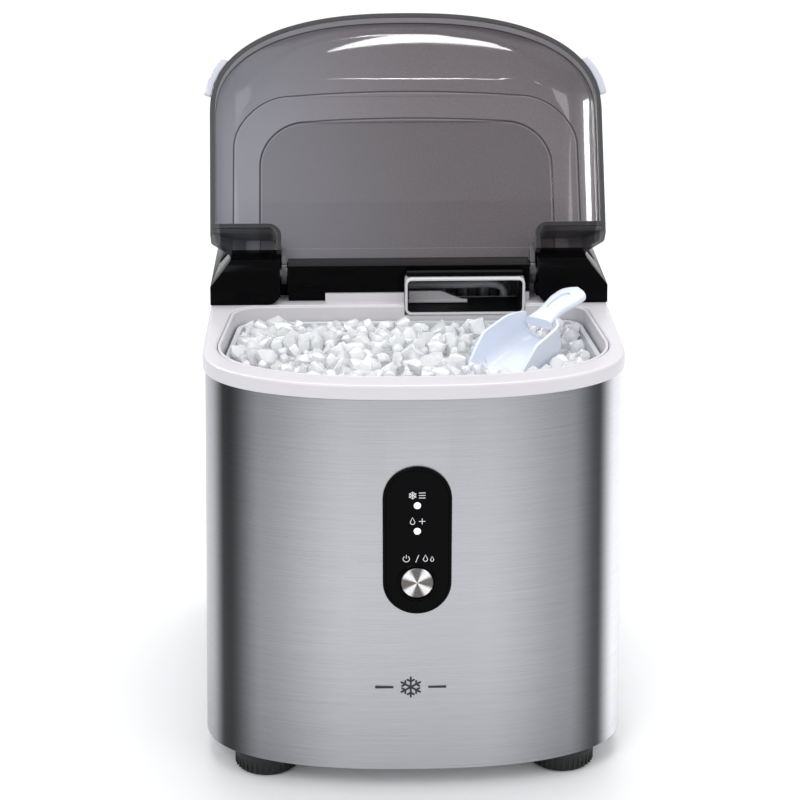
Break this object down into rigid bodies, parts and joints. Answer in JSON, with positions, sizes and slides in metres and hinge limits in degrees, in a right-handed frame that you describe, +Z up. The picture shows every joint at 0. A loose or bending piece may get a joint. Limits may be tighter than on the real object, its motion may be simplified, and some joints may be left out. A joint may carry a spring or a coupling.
{
  "type": "ice maker",
  "caption": "Countertop ice maker with a brushed steel body, smoked hinged lid, lift-out ice basket, scoop, front panel and the cooling works inside.",
  "frame": {"origin": "centre of the footprint at floor level", "axes": "+Z up, -Y towards the front with the panel, +X to the right as seen from the front"},
  "size_m": [0.2506, 0.3052, 0.4101],
  "materials": {
    "white_plastic": "satin gloss white",
    "off_white_plastic": "satin off-white",
    "black_plastic": "gloss black",
    "black_rubber": "matt black",
    "brushed_steel": "brushed lengthways round the body",
    "button_chrome": "spun chrome",
    "zinc_steel": "zinc plated",
    "copper_pipe": "plain copper",
    "plain_aluminium": "mill finish",
    "smoked_plastic": "polished smoked clear plastic",
    "frosted_plastic": "frosted grey",
    "pale_blue_plastic": "satin pale blue grey",
    "circuit_board": "green board",
    "lamp_white": "clear white",
    "hose": "milky clear hose",
    "painted_black": "black enamel"
  },
  "bodies": {
    "machine": {"foot_front_left": "black_rubber", "foot_front_right": "black_rubber", "foot_rear_left": "black_rubber", "foot_rear_right": "black_rubber", "cord_gland": "black_rubber", "compressor_grommet_1": "black_rubber", "compressor_grommet_2": "black_rubber", "base_pan": "off_white_plastic", "rear_panel": "off_white_plastic", "return_chute": "off_white_plastic", "water_nozzle": "off_white_plastic", "steel_wrap": "brushed_steel", "rear_screw_1": "zinc_steel", "rear_screw_2": "zinc_steel", "rear_screw_3": "zinc_steel", "rear_screw_4": "zinc_steel", "fan_motor": "zinc_steel", "hot_gas_valve": "zinc_steel", "button_switch": "zinc_steel", "top_rim": "white_plastic", "inner_tub": "white_plastic", "window_duct": "white_plastic", "ice_chamber": "white_plastic", "rear_deck": "black_plastic", "tray_motor": "black_plastic", "water_pump": "black_plastic", "water_level_sensor": "black_plastic", "ice_sensor_left": "black_plastic", "ice_sensor_right": "black_plastic", "terminal_cover": "black_plastic", "fan_shroud": "black_plastic", "panel_bezel": "black_plastic", "compressor": "painted_black", "evaporator": "plain_aluminium", "condenser": "plain_aluminium", "pump_hose": "hose", "drain_pipe": "hose", "suction_pipe": "copper_pipe", "discharge_pipe": "copper_pipe", "filter_drier": "copper_pipe", "capillary_tube": "copper_pipe", "power_board": "circuit_board", "display_board": "circuit_board", "button_ring": "lamp_white", "led_lens_1": "lamp_white", "led_lens_2": "lamp_white"},
    "lid": {"lid_shell": "smoked_plastic", "lid_pin_left": "zinc_steel", "lid_pin_right": "zinc_steel", "lid_tab_left": "lamp_white", "lid_tab_right": "lamp_white"},
    "power_key": {"power_button": "button_chrome"},
    "basket": {"ice_basket": "frosted_plastic"},
    "scoop": {"ice_scoop": "pale_blue_plastic"},
    "tray": {"water_tray": "off_white_plastic", "motor_coupler": "black_plastic"},
    "pusher": {"ice_pusher": "white_plastic"},
    "fan": {"fan_blade": "off_white_plastic"},
    "drain_plug": {"drain_cap": "black_rubber"}
  },
  "joints": [
    {"name": "lid_hinge", "type": "hinge", "parent": "machine", "child": "lid", "pos_m": [0, 0.0157, 0.267], "axis": [1, 0, 0], "range_deg": [0, 126.5]},
    {"name": "power_key_press", "type": "slide", "parent": "machine", "child": "power_key", "axis": [0, 1, 0], "range_m": [0, 0.001], "stiffness_N_per_m": 500, "springref_m": -0.001},
    {"name": "basket_lift", "type": "slide", "parent": "machine", "child": "basket", "axis": [0, 0, -1], "range_m": [-0.15, 0]},
    {"name": "scoop_lift", "type": "slide", "parent": "basket", "child": "scoop", "axis": [0, 0, -1], "range_m": [-0.12, 0]},
    {"name": "tray_tilt", "type": "hinge", "parent": "machine", "child": "tray", "pos_m": [0.035, 0.0465, 0.246], "axis": [1, 0, 0], "range_deg": [0, 40]},
    {"name": "pusher_swing", "type": "hinge", "parent": "machine", "child": "pusher", "pos_m": [0.018, 0.012, 0.2494], "axis": [1, 0, 0], "range_deg": [0, 70]},
    {"name": "fan_spin", "type": "hinge", "parent": "machine", "child": "fan", "pos_m": [0.06, 0.102, 0.095], "axis": [0, 1, 0], "continuous": true},
    {"name": "drain_plug_pull", "type": "slide", "parent": "machine", "child": "drain_plug", "axis": [0, 1, 0], "range_m": [0, 0.02]}
  ],
  "couplings": [
    {"joint": "pusher_swing", "follows": "tray_tilt", "ratio": 1.75}
  ]
}
